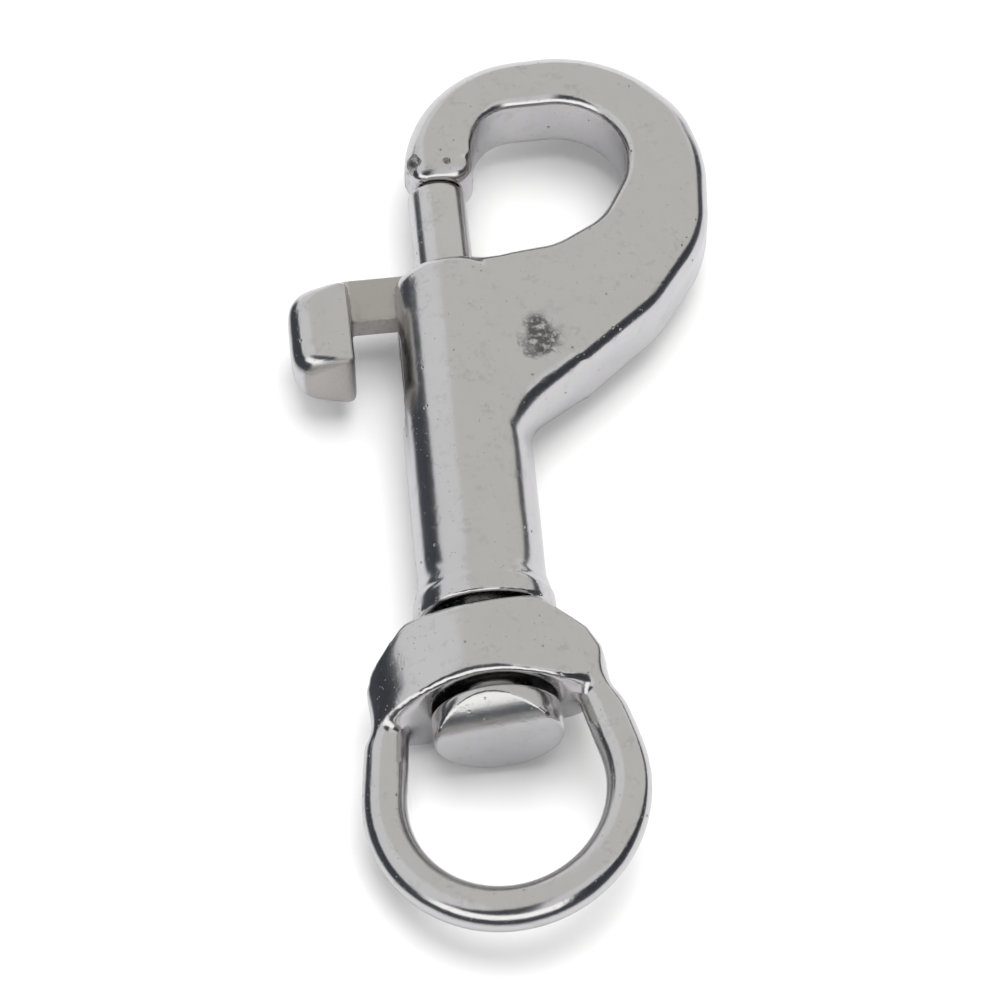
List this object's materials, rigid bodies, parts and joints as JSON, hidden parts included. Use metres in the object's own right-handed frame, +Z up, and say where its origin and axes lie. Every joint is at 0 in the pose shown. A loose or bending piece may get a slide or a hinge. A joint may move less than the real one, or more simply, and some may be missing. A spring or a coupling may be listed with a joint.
{
  "type": "swivel snap hook",
  "caption": "Polished metal snap hook: slotted barrel with a sprung bolt and thumb lever closing a rounded hook, and a swivel eye held by a headed pin.",
  "frame": {"origin": "centre of the swivel eye, on the barrel's axis", "axes": "+Y along the barrel from the eye to the hook, +Z up as the hook lies flat, the thumb lever at -X"},
  "size_m": [0.0298, 0.065, 0.0098],
  "materials": {
    "cast_steel": "polished cast stainless steel with small pits",
    "turned_steel": "polished",
    "spring_wire": "drawn wire"
  },
  "bodies": {
    "hook": {"hook_body": "cast_steel", "swivel_pin": "turned_steel", "spring": "spring_wire"},
    "sliding_bolt": {"bolt": "turned_steel", "thumb_lever": "cast_steel"},
    "eye": {"swivel_eye": "cast_steel"}
  },
  "joints": [
    {"name": "bolt_slide", "type": "slide", "parent": "hook", "child": "sliding_bolt", "axis": [0, -1, 0], "range_m": [0, 0.0076], "stiffness_N_per_m": 500, "springref_m": -0.004, "deforming": ["spring"]},
    {"name": "eye_swivel", "type": "hinge", "parent": "hook", "child": "eye", "pos_m": [0, 0.009, 0], "axis": [0, 1, 0], "continuous": true}
  ]
}
